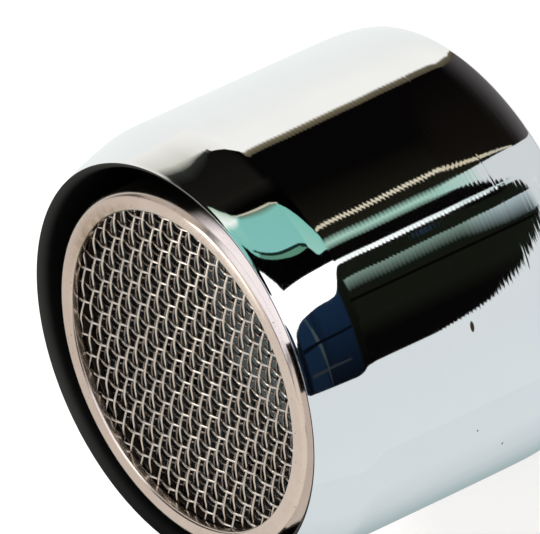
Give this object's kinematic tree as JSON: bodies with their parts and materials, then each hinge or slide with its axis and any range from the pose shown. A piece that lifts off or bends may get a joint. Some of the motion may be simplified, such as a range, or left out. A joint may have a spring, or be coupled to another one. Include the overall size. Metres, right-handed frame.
{
  "type": "tap aerator",
  "caption": "Round chromed tap aerator with an internal thread at the inlet, a tapered nose, and a screened core set in a ring-shaped air gap at the outlet.",
  "frame": {"origin": "centre of the inlet end face, on the shell's axis", "axes": "+Z along the shell's axis from the inlet to the outlet; the loose core lies over towards -X"},
  "size_m": [0.024, 0.024, 0.0183],
  "materials": {
    "chromed_brass": "polished chrome plate on brass",
    "cap_steel": "polished stainless steel, slightly warm",
    "screen_wire": "drawn stainless wire",
    "core_plastic": "moulded black plastic",
    "plate_plastic": "moulded grey plastic",
    "seal_rubber": "die-cut rubber"
  },
  "bodies": {
    "root": {"housing": "chromed_brass", "screen_cap": "cap_steel", "outlet_screen": "screen_wire", "inner_screen": "screen_wire", "screen_spacer": "cap_steel", "core_sleeve": "core_plastic", "jet_plate": "plate_plastic", "inlet_strainer": "plate_plastic", "sealing_washer": "seal_rubber"}
  },
  "joints": []
}
